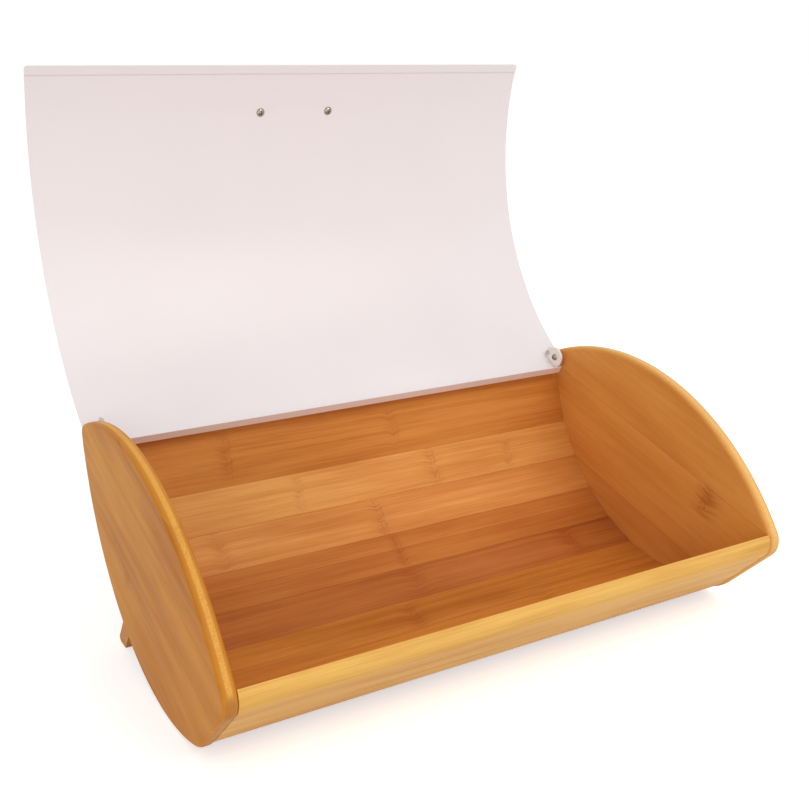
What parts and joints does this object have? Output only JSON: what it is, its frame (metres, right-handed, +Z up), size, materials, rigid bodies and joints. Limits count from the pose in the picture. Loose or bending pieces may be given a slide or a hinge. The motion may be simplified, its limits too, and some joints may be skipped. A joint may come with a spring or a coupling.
{
  "type": "bread box",
  "caption": "Bamboo bread box with lens-shaped side panels, a curved stave shell and a curved white sheet lid that swings up over the back.",
  "frame": {"origin": "on the table, at the middle of the rear foot's flat underside", "axes": "+X to the right, along the box's width; +Y to the back; +Z up"},
  "size_m": [0.4, 0.343, 0.3678],
  "materials": {
    "panel_bamboo": "satin lacquered bamboo",
    "stave_bamboo": "satin lacquered bamboo",
    "board_bamboo": "satin lacquered bamboo",
    "dowel_wood": "raw wood",
    "screw_steel": "zinc plated",
    "washer_nylon": "natural nylon",
    "lid_paint": "white powder coat, smooth",
    "ear_paint": "white powder coat, smooth",
    "rivet_aluminium": "plain",
    "handle_bamboo": "satin lacquered bamboo"
  },
  "bodies": {
    "box": {"side_panel_left": "panel_bamboo", "side_panel_right": "panel_bamboo", "stave_1": "stave_bamboo", "stave_2": "stave_bamboo", "stave_3": "stave_bamboo", "stave_4": "stave_bamboo", "stave_5": "stave_bamboo", "stave_6": "stave_bamboo", "stave_7": "stave_bamboo", "stave_8": "stave_bamboo", "front_board": "board_bamboo", "board_dowels": "dowel_wood", "rear_foot": "board_bamboo", "pivot_screws": "screw_steel", "pivot_washers": "washer_nylon"},
    "lid": {"lid_sheet": "lid_paint", "ear_plate_left": "ear_paint", "ear_plate_right": "ear_paint", "ear_rivets": "rivet_aluminium", "lid_handle": "handle_bamboo", "handle_screws": "screw_steel"}
  },
  "joints": [
    {"name": "lid_hinge", "type": "hinge", "parent": "box", "child": "lid", "pos_m": [0, 0.03705, 0.13765], "axis": [1, 0, 0], "range_deg": [0, 126.5]}
  ]
}
